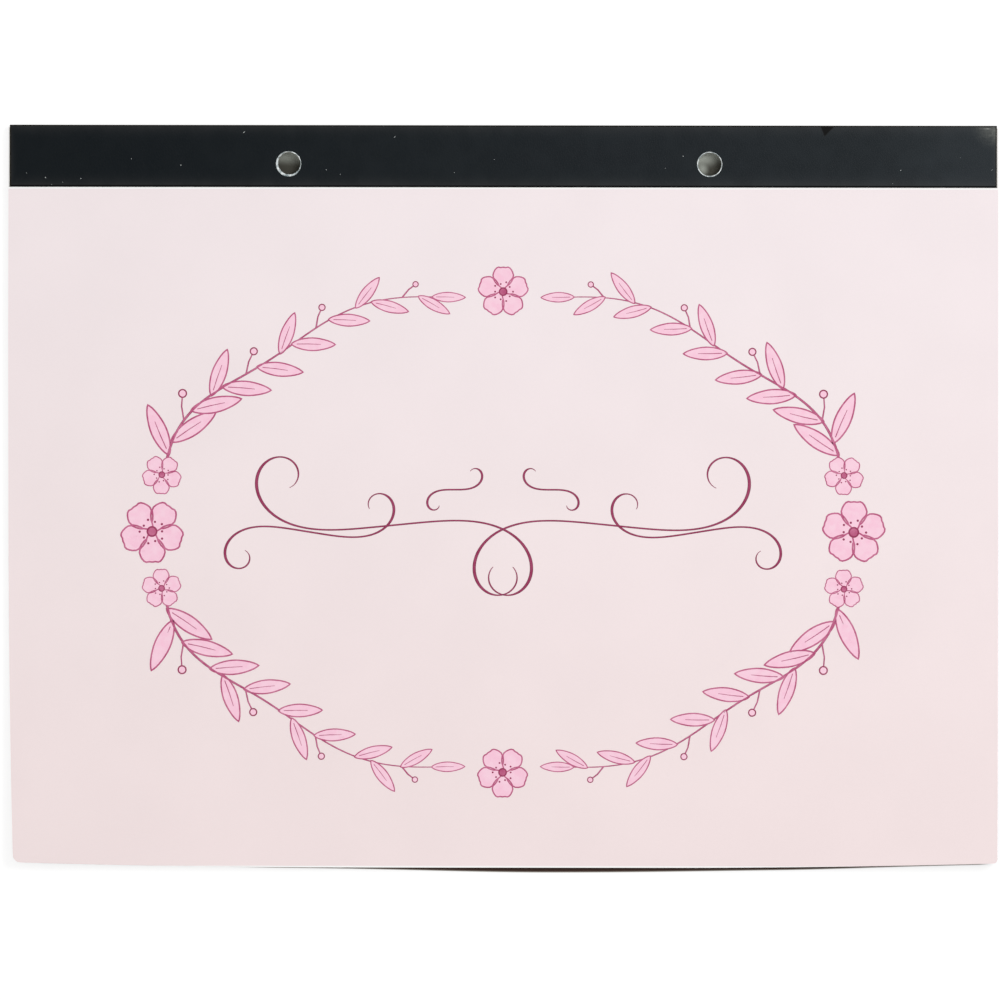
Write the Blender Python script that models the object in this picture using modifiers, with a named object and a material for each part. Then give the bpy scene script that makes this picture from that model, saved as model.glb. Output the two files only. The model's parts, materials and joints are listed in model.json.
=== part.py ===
# A desk calendar pad: a cover and twelve month leaves, bound at the head to a
# chipboard back with padding glue and a folded tape, and drilled with two holes.
#
# The pad lies flat with its head towards +Y and its cover up. Lengths are in
# metres. The origin is under the middle of the pad, on the surface it lies on.
#
# Every sheet is two pieces that part at the perforation along the edge of the
# tape: a stub, held under the tape, and a leaf, which turns up about the tape's
# edge. All the leaves turn about one line, just over that edge.

import math

import bmesh
import bpy
from mathutils import Matrix

MM = 0.001

# Size of the trimmed pad
PAD_WIDTH = 304.8 * MM
PAD_DEPTH = 228.6 * MM
LEAF_COUNT = 12
FOOT_CORNER_RADIUS = 1.2 * MM

# Thickness of each layer
BOARD_THICKNESS = 1.2 * MM
LEAF_THICKNESS = 0.13 * MM
COVER_THICKNESS = 0.25 * MM
TAPE_THICKNESS = 0.25 * MM
GLUE_THICKNESS = 0.5 * MM

# Binding tape
FRONT_FLAP_DEPTH = 19.1 * MM
BACK_FLAP_DEPTH = 19.1 * MM
TAPE_END_INSET = 0.4 * MM
TAPE_BEND_RADIUS = 0.45 * MM

# The most of the glue's thickness that its rounding may take
MOST_GLUE_ROUND = 0.9

# Drilled holes
HOLE_DIAMETER = 8.0 * MM
HOLE_SPACING = 129.7 * MM
HOLE_PAIR_OFFSET = -1.3 * MM
HOLE_FROM_HEAD = 12.0 * MM

# Clearances between neighbours
SHEET_GAP = 0.05 * MM
TAPE_GAP = 0.05 * MM
GLUE_GAP = 0.05 * MM
PERFORATION_WIDTH = 0.3 * MM
HINGE_LIFT = 0.1 * MM
DRILL_OVERRUN = 2.0 * MM
WELD_DISTANCE = 0.001 * MM

# Fineness of round shapes
HOLE_SEGMENTS = 32
CORNER_SEGMENTS = 6
BEND_SEGMENTS = 6
SMOOTH_ANGLE = math.radians(40)

# Heights, from the table up
BOARD_BOTTOM = TAPE_THICKNESS + TAPE_GAP
BOARD_TOP = BOARD_BOTTOM + BOARD_THICKNESS
LEAF_PITCH = LEAF_THICKNESS + SHEET_GAP
COVER_BOTTOM = BOARD_TOP + SHEET_GAP + LEAF_COUNT * LEAF_PITCH
COVER_TOP = COVER_BOTTOM + COVER_THICKNESS
FLAP_BOTTOM = COVER_TOP + TAPE_GAP
PAD_TOP = FLAP_BOTTOM + TAPE_THICKNESS

# Places along Y, from the head to the foot
HEAD_Y = PAD_DEPTH / 2
FOOT_Y = -PAD_DEPTH / 2
SPINE_INSIDE_Y = HEAD_Y - TAPE_THICKNESS
GLUE_HEAD_Y = SPINE_INSIDE_Y - TAPE_GAP
GLUE_FOOT_Y = GLUE_HEAD_Y - GLUE_THICKNESS
SHEET_HEAD_Y = GLUE_FOOT_Y - GLUE_GAP
HOLE_Y = HEAD_Y - HOLE_FROM_HEAD
FRONT_FLAP_Y = HEAD_Y - FRONT_FLAP_DEPTH
BACK_FLAP_Y = HEAD_Y - BACK_FLAP_DEPTH
LEAF_HEAD_Y = FRONT_FLAP_Y - PERFORATION_WIDTH

# The line that the cover and all the leaves turn about
HINGE_Y = FRONT_FLAP_Y - PERFORATION_WIDTH / 2
HINGE_Z = PAD_TOP + HINGE_LIFT

# Colour, roughness and metallic value of each material
TAPE_LOOK = ((0.018, 0.023, 0.026, 1.0), 0.55, 0.0)
COVER_LOOK = ((0.86, 0.75, 0.75, 1.0), 0.7, 0.0)
LEAF_LOOK = ((0.88, 0.87, 0.85, 1.0), 0.8, 0.0)
BOARD_LOOK = ((0.21, 0.19, 0.17, 1.0), 0.9, 0.0)
GLUE_LOOK = ((0.75, 0.74, 0.7, 1.0), 0.5, 0.0)


def clear_scene():
    for obj in list(bpy.data.objects):
        bpy.data.objects.remove(obj, do_unlink=True)


def new_collection(name):
    collection = bpy.data.collections.new(name)
    bpy.context.scene.collection.children.link(collection)
    return collection


def new_material(name, look):
    colour, roughness, metallic = look
    material = bpy.data.materials.new(name)
    material.use_nodes = True
    shader = material.node_tree.nodes["Principled BSDF"]
    shader.inputs["Base Color"].default_value = colour
    shader.inputs["Roughness"].default_value = roughness
    shader.inputs["Metallic"].default_value = metallic
    material.diffuse_color = colour
    return material


def arc_points(centre, radius, start, end, segments):
    """Points along an arc from one angle to another, both ends included."""
    step = (end - start) / segments
    angles = [start + step * i for i in range(segments + 1)]
    return [
        (centre[0] + radius * math.cos(a), centre[1] + radius * math.sin(a))
        for a in angles
    ]


def stub_outline():
    """A stub's outline, anticlockwise, from the glue to the edge of the tape."""
    half = PAD_WIDTH / 2
    return [
        (half, SHEET_HEAD_Y),
        (-half, SHEET_HEAD_Y),
        (-half, FRONT_FLAP_Y),
        (half, FRONT_FLAP_Y),
    ]


def sheet_outline(head_y):
    """A sheet's outline down to the foot, anticlockwise, its foot corners rounded."""
    half = PAD_WIDTH / 2
    radius = FOOT_CORNER_RADIUS
    middle_y = FOOT_Y + radius
    left = arc_points(
        (-half + radius, middle_y), radius, math.pi, 1.5 * math.pi, CORNER_SEGMENTS
    )
    right = arc_points(
        (half - radius, middle_y), radius, 1.5 * math.pi, 2 * math.pi, CORNER_SEGMENTS
    )
    return [(half, head_y), (-half, head_y)] + left + right


def flat_curve(name, outline, thickness):
    """A closed 2D curve, filled and extruded to a thickness about its own plane."""
    curve = bpy.data.curves.new(name, "CURVE")
    curve.dimensions = "2D"
    curve.fill_mode = "BOTH"
    curve.extrude = thickness / 2
    spline = curve.splines.new("POLY")
    spline.points.add(len(outline) - 1)
    for point, (x, y) in zip(spline.points, outline):
        point.co = (x, y, 0, 1)
    spline.use_cyclic_u = True
    return bpy.data.objects.new(name, curve)


def mesh_from_curve(obj, collection):
    """The curve's solid as a welded mesh object of the same name and place."""
    name = obj.name
    collection.objects.link(obj)
    bpy.context.view_layer.update()
    graph = bpy.context.evaluated_depsgraph_get()
    mesh = bpy.data.meshes.new_from_object(obj.evaluated_get(graph))
    shape = bmesh.new()
    shape.from_mesh(mesh)
    bmesh.ops.remove_doubles(shape, verts=shape.verts, dist=WELD_DISTANCE)
    bmesh.ops.recalc_face_normals(shape, faces=shape.faces)
    shape.to_mesh(mesh)
    shape.free()
    place = obj.matrix_world.copy()
    bpy.data.objects.remove(obj, do_unlink=True)
    made = bpy.data.objects.new(name, mesh)
    made.matrix_world = place
    collection.objects.link(made)
    return made


def add_plate(name, outline, bottom, thickness, material, collection):
    """A flat piece with its underside at a height, and its origin at the pad's."""
    curve = flat_curve(name, outline, thickness)
    plate = mesh_from_curve(curve, collection)
    plate.data.transform(Matrix.Translation((0, 0, bottom + thickness / 2)))
    plate.data.materials.append(material)
    return plate


def hinge_to(obj, lower):
    """Puts the origin of a leaf on the hinge line, and hangs it on the leaf below."""
    obj.data.transform(Matrix.Translation((0, -HINGE_Y, -HINGE_Z)))
    if lower is None:
        obj.location = (0, HINGE_Y, HINGE_Z)
    else:
        obj.parent = lower


def drill(obj, cutters):
    for cutter in cutters:
        cut = obj.modifiers.new("drill", "BOOLEAN")
        cut.operation = "DIFFERENCE"
        cut.solver = "EXACT"
        cut.object = cutter


def hole_centres():
    half = HOLE_SPACING / 2
    return [(HOLE_PAIR_OFFSET + side * half, HOLE_Y) for side in (-1, 1)]


def add_drills(collection):
    """One cylinder for each hole, longer than the pad is thick."""
    cutters = []
    for number, (x, y) in enumerate(hole_centres(), start=1):
        bpy.ops.mesh.primitive_cylinder_add(
            vertices=HOLE_SEGMENTS,
            radius=HOLE_DIAMETER / 2,
            depth=PAD_TOP + 2 * DRILL_OVERRUN,
            location=(x, y, PAD_TOP / 2),
        )
        cutter = bpy.context.object
        cutter.name = f"drill_{number}"
        cutter.hide_render = True
        cutter.display_type = "WIRE"
        for owner in list(cutter.users_collection):
            owner.objects.unlink(cutter)
        collection.objects.link(cutter)
        cutters.append(cutter)
    return cutters


def add_board(material, cutters, collection):
    board = add_plate(
        "backing_board",
        sheet_outline(SHEET_HEAD_Y),
        BOARD_BOTTOM,
        BOARD_THICKNESS,
        material,
        collection,
    )
    drill(board, cutters)


def add_stub(name, bottom, thickness, material, cutters, collection):
    stub = add_plate(name, stub_outline(), bottom, thickness, material, collection)
    drill(stub, cutters)


def add_sheets(leaf_material, cover_material, cutters, collection):
    """The leaves from the lowest, the last month's, up to the first, then the cover."""
    outline = sheet_outline(LEAF_HEAD_Y)
    lower = None
    for level in range(LEAF_COUNT):
        month = LEAF_COUNT - level
        bottom = BOARD_TOP + SHEET_GAP + level * LEAF_PITCH
        add_stub(
            f"leaf_stub_{month:02d}",
            bottom,
            LEAF_THICKNESS,
            leaf_material,
            cutters,
            collection,
        )
        leaf = add_plate(
            f"month_leaf_{month:02d}",
            outline,
            bottom,
            LEAF_THICKNESS,
            leaf_material,
            collection,
        )
        hinge_to(leaf, lower)
        lower = leaf
    add_stub(
        "cover_stub",
        COVER_BOTTOM,
        COVER_THICKNESS,
        cover_material,
        cutters,
        collection,
    )
    cover = add_plate(
        "cover", outline, COVER_BOTTOM, COVER_THICKNESS, cover_material, collection
    )
    hinge_to(cover, lower)


def tape_profile():
    """The inside of the folded tape, from the front flap's edge round to the back's."""
    top = FLAP_BOTTOM
    bottom = TAPE_THICKNESS
    bend_y = SPINE_INSIDE_Y - TAPE_BEND_RADIUS
    upper = arc_points(
        (bend_y, top - TAPE_BEND_RADIUS),
        TAPE_BEND_RADIUS,
        math.pi / 2,
        0,
        BEND_SEGMENTS,
    )
    lower = arc_points(
        (bend_y, bottom + TAPE_BEND_RADIUS),
        TAPE_BEND_RADIUS,
        0,
        -math.pi / 2,
        BEND_SEGMENTS,
    )
    return [(FRONT_FLAP_Y, top)] + upper + lower + [(BACK_FLAP_Y, bottom)]


def add_tape(material, cutters, collection):
    """One strip folded round the head, as an open surface that Solidify thickens."""
    half = PAD_WIDTH / 2 - TAPE_END_INSET
    mesh = bpy.data.meshes.new("binding_tape")
    shape = bmesh.new()
    edge = [shape.verts.new((-half, y, z)) for y, z in tape_profile()]
    runs = [shape.edges.new(pair) for pair in zip(edge, edge[1:])]
    swept = bmesh.ops.extrude_edge_only(shape, edges=runs)
    moved = [v for v in swept["geom"] if isinstance(v, bmesh.types.BMVert)]
    bmesh.ops.translate(shape, verts=moved, vec=(2 * half, 0, 0))
    shape.to_mesh(mesh)
    shape.free()
    mesh.materials.append(material)
    tape = bpy.data.objects.new("binding_tape", mesh)
    collection.objects.link(tape)
    wall = tape.modifiers.new("thickness", "SOLIDIFY")
    wall.thickness = TAPE_THICKNESS
    wall.offset = 1
    wall.use_even_offset = True
    drill(tape, cutters)
    mesh.shade_smooth()
    mesh.set_sharp_from_angle(angle=SMOOTH_ANGLE)


def add_glue(material, collection):
    """The film of glue on the head edges, rounded where the tape bends over it."""
    low = TAPE_THICKNESS + TAPE_GAP
    high = FLAP_BOTTOM - TAPE_GAP
    radius = min(TAPE_BEND_RADIUS - TAPE_GAP, MOST_GLUE_ROUND * GLUE_THICKNESS)
    centre = GLUE_HEAD_Y - radius
    lower = arc_points(
        (centre, low + radius), radius, -math.pi / 2, 0, BEND_SEGMENTS
    )
    upper = arc_points(
        (centre, high - radius), radius, 0, math.pi / 2, BEND_SEGMENTS
    )
    outline = lower + upper + [(GLUE_FOOT_Y, high), (GLUE_FOOT_Y, low)]
    curve = flat_curve("padding_glue", outline, PAD_WIDTH - 2 * TAPE_END_INSET)
    glue = mesh_from_curve(curve, collection)
    upright = Matrix(((0, 0, 1, 0), (1, 0, 0, 0), (0, 1, 0, 0), (0, 0, 0, 1)))
    glue.data.transform(upright)
    glue.data.materials.append(material)
    glue.data.shade_smooth()
    glue.data.set_sharp_from_angle(angle=SMOOTH_ANGLE)


def main():
    clear_scene()
    parts = new_collection("desk_calendar_pad")
    tools = new_collection("cutters")
    cutters = add_drills(tools)
    add_board(new_material("chipboard", BOARD_LOOK), cutters, parts)
    add_sheets(
        new_material("leaf_paper", LEAF_LOOK),
        new_material("cover_card", COVER_LOOK),
        cutters,
        parts,
    )
    add_tape(new_material("grained_tape", TAPE_LOOK), cutters, parts)
    add_glue(new_material("glue", GLUE_LOOK), parts)


main()
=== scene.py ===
import json
import math

import bmesh
import bpy
from mathutils import Matrix, Vector, noise
from mathutils.bvhtree import BVHTree


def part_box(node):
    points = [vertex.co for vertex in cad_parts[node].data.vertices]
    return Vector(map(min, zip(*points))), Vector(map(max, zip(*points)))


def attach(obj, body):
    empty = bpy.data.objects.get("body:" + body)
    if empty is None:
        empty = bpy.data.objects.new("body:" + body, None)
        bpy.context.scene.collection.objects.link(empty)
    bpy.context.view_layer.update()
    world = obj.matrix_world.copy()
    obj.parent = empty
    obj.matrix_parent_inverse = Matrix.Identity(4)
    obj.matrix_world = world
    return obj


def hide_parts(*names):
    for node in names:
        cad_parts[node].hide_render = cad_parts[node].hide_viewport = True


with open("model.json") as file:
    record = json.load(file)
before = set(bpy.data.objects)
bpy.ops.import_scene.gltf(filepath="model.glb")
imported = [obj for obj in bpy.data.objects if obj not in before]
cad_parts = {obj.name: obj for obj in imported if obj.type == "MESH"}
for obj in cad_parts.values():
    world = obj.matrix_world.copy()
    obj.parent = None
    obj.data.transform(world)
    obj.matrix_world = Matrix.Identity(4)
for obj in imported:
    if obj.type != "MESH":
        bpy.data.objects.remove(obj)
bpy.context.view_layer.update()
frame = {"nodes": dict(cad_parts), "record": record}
mm = 0.001
tiny = 0.02 * mm  # how near a vertex must be to count as lying on a place
leafCount = 12
leafTags = [f"{number:02d}" for number in range(1, leafCount + 1)]  # 01 lies on top
midNoise = (0.3, 0.7)  # most of a noise's values lie between these
wideNoise = (0.25, 0.75)
smoothAngle = math.radians(30)


def objectMode():
    bpy.ops.object.mode_set(mode="OBJECT")


def deselectAll():
    if bpy.context.mode != "OBJECT":
        objectMode()
    bpy.ops.object.select_all(action="DESELECT")


def pick(piece):
    deselectAll()
    piece.select_set(True)
    bpy.context.view_layer.objects.active = piece


def nameAdded(name):
    piece = bpy.context.object
    piece.name = name
    piece.data.name = name
    return piece


def editMode(kind, chosen="DESELECT"):
    bpy.ops.object.mode_set(mode="EDIT")
    bpy.ops.mesh.select_mode(type=kind)
    bpy.ops.mesh.select_all(action=chosen)


def selectVertices(piece, isWanted):
    shape = bmesh.from_edit_mesh(piece.data)
    for vertex in shape.verts:
        vertex.select = isWanted(vertex.co)
    shape.select_flush(True)
    bmesh.update_edit_mesh(piece.data)


def pull(value, falloff, reach):
    # moves what is selected, and what lies near it by less
    bpy.ops.transform.translate(value=value, use_proportional_edit=True,
                                proportional_edit_falloff=falloff, proportional_size=reach)


def squeeze(value, centre, **settings):
    bpy.ops.transform.resize(value=value, center_override=centre, **settings)


def applyPlace(piece):
    pick(piece)
    bpy.ops.object.transform_apply(location=True, rotation=True, scale=True)


def addThickness(piece, thickness, backSlot=0):
    solid = piece.modifiers.new("thickness", "SOLIDIFY")
    solid.thickness = thickness
    solid.offset = -1  # all of it under the surface
    solid.material_offset = backSlot
    solid.material_offset_rim = backSlot
    pick(piece)
    bpy.ops.object.modifier_apply(modifier=solid.name)


def joinPieces(pieces, name):
    deselectAll()
    for piece in pieces:
        piece.select_set(True)
    bpy.context.view_layer.objects.active = pieces[0]
    bpy.ops.object.join()
    return nameAdded(name)


def addToScene(piece):
    bpy.context.scene.collection.objects.link(piece)


def paint(piece, *materials):
    for material in materials:
        piece.data.materials.append(material)


def shift(piece, x, y, z):
    piece.data.transform(Matrix.Translation((x, y, z)))


def placedCopy(piece, x, y, z, angle=0.0, scale=1.0):
    twin = piece.copy()
    twin.data = piece.data.copy()
    addToScene(twin)
    turn = Matrix.Rotation(angle, 4, "Z") @ Matrix.Diagonal((scale, scale, 1, 1))
    twin.data.transform(Matrix.Translation((x, y, z)) @ turn)
    return twin


rayStart = 20 * mm  # rays start this far above a sheet


def layOn(piece, sheet, level):
    # a print drawn on the flat level is lifted wherever the sheet under it has curled up
    surface = BVHTree.FromObject(sheet, bpy.context.evaluated_depsgraph_get())
    for vertex in piece.data.vertices:
        above = Vector((vertex.co.x, vertex.co.y, level + rayStart))
        spot = surface.ray_cast(above, Vector((0, 0, -1)))[0]
        if spot:
            vertex.co.z += spot.z - level


def pointing(angle):
    return Vector((math.cos(angle), math.sin(angle)))


def headingTo(start, end):
    return math.atan2(end.y - start.y, end.x - start.x)


# material helpers

# roughness, specular level, depth of the bump in mm and its strength
finishes = {
    "coverPrint": (0.52, 0.38, 0.012, 0.5),
    "cardCore": (0.6, 0.3, 0.02, 0.6),
    "leafPrint": (0.68, 0.3, 0.02, 0.6),
    "leafPlain": (0.7, 0.3, 0.02, 0.6),
    "inkBlush": (0.5, 0.35, 0.01, 0.5),
    "inkRose": (0.5, 0.35, 0.01, 0.5),
    "inkWine": (0.5, 0.35, 0.01, 0.5),
    "tapeGrain": (0.4, 0.13, 0.03, 0.35),
    "chipboardFlecks": (0.85, 0.25, 0.05, 0.6),
    "paddingGlueFilm": (0.35, 0.5, 0.06, 0.5),
    "tornPaper": (0.85, 0.2, 0.05, 0.7),
    "lintSpecks": (0.9, 0.2, 0.0, 0.0),
    "paleDesk": (0.9, 0.0, 0.0, 0.0),
}


bench = {}  # the material that is being worked on, its node tree, shader and bump


def startMaterial(name):
    # gives the place on the piece, as Object coordinates
    roughness, specular, depth, strength = finishes[name]
    material = bpy.data.materials.new(name)
    material.use_nodes = True
    bench.update(material=material, tree=material.node_tree, bump=(depth * mm, strength),
                 shader=material.node_tree.nodes["Principled BSDF"])
    setInput("Roughness", roughness)
    setInput("Specular IOR Level", specular)
    return addNode("ShaderNodeTexCoord", {}).outputs["Object"]


def finishMaterial(tint, height=None):
    setInput("Base Color", tint)
    if height is not None:
        depth, strength = bench["bump"]
        inputs = {"Height": height, "Distance": depth, "Strength": strength}
        setInput("Normal", addNode("ShaderNodeBump", inputs).outputs[0])
    return bench["material"]


def setInput(name, value):
    if isinstance(value, bpy.types.NodeSocket):
        bench["tree"].links.new(value, bench["shader"].inputs[name])
    else:
        bench["shader"].inputs[name].default_value = value


def addNode(kind, inputs, **settings):
    made = bench["tree"].nodes.new(kind)
    for key, value in settings.items():
        setattr(made, key, value)
    for key, value in inputs.items():
        if isinstance(value, bpy.types.NodeSocket):
            bench["tree"].links.new(value, made.inputs[key])
        else:
            made.inputs[key].default_value = value
    return made


def calc(operation, first, second=0.0, third=0.0):
    made = addNode("ShaderNodeMath", {0: first, 1: second, 2: third}, operation=operation)
    return made.outputs[0]


def times(first, second):
    return calc("MULTIPLY", first, second)


def plus(first, second):
    return calc("ADD", first, second)


def minus(first, second):
    return calc("SUBTRACT", first, second)


def ramp(value, low, high, atLow=0.0, atHigh=1.0):
    inputs = {"Value": value, "From Min": low, "From Max": high, "To Min": atLow, "To Max": atHigh}
    made = addNode("ShaderNodeMapRange", inputs, interpolation_type="SMOOTHSTEP")
    return made.outputs[0]


def mixed(factor, first, second, mode="MIX"):
    # two colours mixed
    made = addNode("ShaderNodeMix", {0: factor, 6: first, 7: second},
                   data_type="RGBA", blend_type=mode)
    return made.outputs[2]


def colour(red, green, blue):
    # screen values from 0 to 255, turned into the linear ones that a shader takes
    values = [value / 255 for value in (red, green, blue)]
    linear = [v / 12.92 if v <= 0.04045 else ((v + 0.055) / 1.055) ** 2.4 for v in values]
    return (*linear, 1)


def placeParts(vector):
    made = addNode("ShaderNodeSeparateXYZ", {0: vector})
    return made.outputs[0], made.outputs[1], made.outputs[2]


def grain(vector, size, detail=2.0, roughness=0.5, distortion=0.0):
    # noise from 0 to 1 whose lumps are about size metres across
    inputs = {"Vector": vector, "Scale": 1 / size, "Detail": detail,
              "Roughness": roughness, "Distortion": distortion}
    return addNode("ShaderNodeTexNoise", inputs).outputs["Fac"]


def stretched(vector, scale):
    made = addNode("ShaderNodeMapping", {"Vector": vector, "Scale": scale})
    return made.outputs[0]


def distanceTo(vector, spot):
    made = addNode("ShaderNodeVectorMath", {0: vector, 1: spot}, operation="DISTANCE")
    return made.outputs["Value"]


# papers

coverLook = {
    "head": colour(247, 235, 237),
    "foot": colour(247, 230, 230),
    # the shade colour is painted shade: darker towards the left, where less light falls
    "shade": colour(238, 224, 223),
    "paintedShadeReach": 0.55,  # share of the width that the painted shade reaches
    "paintedShadeMost": 0.16,
    "core": colour(251, 249, 247),
    "coreDull": colour(238, 236, 232),
    "bare": colour(255, 254, 253),
    "headMargin": 0.32 * mm,
    "footMargin": 0.5 * mm,
    "marginBlur": 0.12 * mm,
    "wander": (9 * mm, 0.12 * mm),  # how the margins' edges stray: size and most
    "cloud": (34 * mm, 3),  # size and detail
    "cloudShade": (0.982, 1.008),
    "speckle": (0.988, 1.01),
}
paperLook = {
    # stretch and size of the fibres that lie each way, then their detail, roughness and distortion
    "fibres": [((1, 0.22, 1), 0.16 * mm), ((0.2, 1, 1), 0.19 * mm)],
    "fray": (3, 0.6, 0.6),
    "clouds": (16 * mm, 3),
    "cloudShare": 0.2,  # how much they add to the fibres
    "band": (0.3, 0.9),
}


def paperFibre(vector):
    layers = []
    for stretch, size in paperLook["fibres"]:
        layers.append(grain(stretched(vector, stretch), size, *paperLook["fray"]))
    return times(plus(*layers), 1 / len(layers))


def coverPrintMaterial(low, high):
    vector = startMaterial("coverPrint")
    x, y = placeParts(vector)[:2]
    towardsHead = ramp(y, low.y, high.y)
    tint = mixed(towardsHead, coverLook["foot"], coverLook["head"])
    # painted shade, darker towards the left
    paintedShadeEnd = low.x + coverLook["paintedShadeReach"] * (high.x - low.x)
    paintedShadeLeft = ramp(x, low.x, paintedShadeEnd, coverLook["paintedShadeMost"], 0.0)
    tint = mixed(paintedShadeLeft, tint, coverLook["shade"])
    cloud = ramp(grain(vector, *coverLook["cloud"]), *wideNoise, *coverLook["cloudShade"])
    speckle = ramp(paperFibre(vector), *midNoise, *coverLook["speckle"])
    shade = times(cloud, speckle)
    shadeColour = addNode("ShaderNodeCombineColor", {0: shade, 1: shade, 2: shade}).outputs[0]
    tint = mixed(1.0, tint, shadeColour, "MULTIPLY")
    # the print stops short of the tape and of the trimmed foot, where bare white card shows
    straySize, strayMost = coverLook["wander"]
    wander = times(grain(vector, straySize), strayMost)
    margins = []
    for edge, margin in ((minus(high.y, y), coverLook["headMargin"]),
                         (minus(y, low.y), coverLook["footMargin"])):
        inFrom = plus(edge, wander)
        margins.append(ramp(inFrom, margin, margin + coverLook["marginBlur"], 1.0, 0.0))
    bare = calc("MAXIMUM", *margins)
    return finishMaterial(mixed(bare, tint, coverLook["bare"]), paperFibre(vector))


def plainPaperMaterial(name, pale, dull):
    vector = startMaterial(name)
    fibre = paperFibre(vector)
    cloud = grain(vector, *paperLook["clouds"])
    amount = ramp(calc("MULTIPLY_ADD", cloud, paperLook["cloudShare"], fibre), *paperLook["band"])
    return finishMaterial(mixed(amount, dull, pale), fibre)


leafPrint = {
    "side": 141.4 * mm,
    "columns": 7,
    "gridHead": 58.0 * mm,
    "headerDepth": 8.0 * mm,
    "rows": 6,
    "gridFoot": -104.0 * mm,
    "line": 0.34 * mm,
    "lineColour": colour(196, 132, 156),
    "headerColour": colour(250, 216, 228),
    "weekendColour": colour(253, 243, 245),
    "paper": colour(250, 249, 246),
    "dull": colour(240, 238, 234),
    "inkPatch": 0.3 * mm,
    "inkTaken": (0.2, 0.6, 0.8, 1.0),  # range of the patches' noise, and how much ink they take
    # pitch, half a cut's length, reach from the edge
    "perforation": (1.6 * mm, 0.36 * mm, 0.42 * mm),
    # painted shade in the perforation's cuts
    "cutShadeColour": colour(176, 172, 166),
    "cutShadeMost": 0.7,
}


def gridPitch():
    # width of a column and depth of a row
    depth = leafPrint["gridHead"] - leafPrint["gridFoot"]
    return 2 * leafPrint["side"] / leafPrint["columns"], depth / leafPrint["rows"]


def nearLine(value, start, pitch):
    # distance from the nearest of the lines that stand pitch apart
    return calc("PINGPONG", minus(value, start), pitch / 2)


def between(value, low, high):
    above = calc("GREATER_THAN", value, low)
    below = calc("LESS_THAN", value, high)
    return times(above, below)


def leafPrintMaterial(headEdge):
    vector = startMaterial("leafPrint")
    x, y = placeParts(vector)[:2]
    side, half = leafPrint["side"], leafPrint["line"] / 2
    gridHead, gridFoot = leafPrint["gridHead"], leafPrint["gridFoot"]
    headerHead = gridHead + leafPrint["headerDepth"]
    column, row = gridPitch()
    fibre = paperFibre(vector)
    tint = mixed(ramp(fibre, *midNoise), leafPrint["dull"], leafPrint["paper"])
    # the two end columns and the blank heading strip carry a light tint
    inGrid = between(y, gridFoot, gridHead)
    endColumn = between(calc("ABSOLUTE", x), side - column, side)
    tint = mixed(times(endColumn, inGrid), tint, leafPrint["weekendColour"])
    inSides = calc("LESS_THAN", calc("ABSOLUTE", x), side)
    inHeader = times(between(y, gridHead, headerHead), inSides)
    tint = mixed(inHeader, tint, leafPrint["headerColour"])
    # upright and level rules
    onColumn = calc("LESS_THAN", nearLine(x, -side, column), half)
    uprights = times(onColumn, between(y, gridFoot, headerHead))
    uprights = times(uprights, calc("LESS_THAN", calc("ABSOLUTE", x), side + half))
    onRow = calc("LESS_THAN", nearLine(y, gridFoot, row), half)
    levels = times(onRow, between(y, gridFoot - half, gridHead + half))
    topRule = between(y, headerHead - half, headerHead + half)
    levels = times(calc("MAXIMUM", levels, topRule), inSides)
    ruled = calc("MAXIMUM", uprights, levels)
    patches = ramp(grain(vector, leafPrint["inkPatch"]), *leafPrint["inkTaken"])
    tint = mixed(times(ruled, patches), tint, leafPrint["lineColour"])
    # the row of short cuts that the leaf tears off along, with painted shade in them
    pitch, halfCut, reach = leafPrint["perforation"]
    onCut = calc("LESS_THAN", nearLine(x, 0.0, pitch), halfCut)
    cuts = times(onCut, calc("GREATER_THAN", y, headEdge - reach))
    cuts = times(cuts, leafPrint["cutShadeMost"])
    return finishMaterial(mixed(cuts, tint, leafPrint["cutShadeColour"]), fibre)


inkLook = {
    "patches": (2.4 * mm, 4),  # size and detail
    "taken": (0.25, 0.6, 0.7, 1.0),  # range of the fibres, and how much ink they take
}


def inkMaterial(name, full, thin):
    vector = startMaterial(name)
    density = ramp(grain(vector, *inkLook["patches"]), *midNoise)
    fibre = paperFibre(vector)
    amount = times(density, ramp(fibre, *inkLook["taken"]))
    return finishMaterial(mixed(amount, thin, full), fibre)


# head binding

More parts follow.
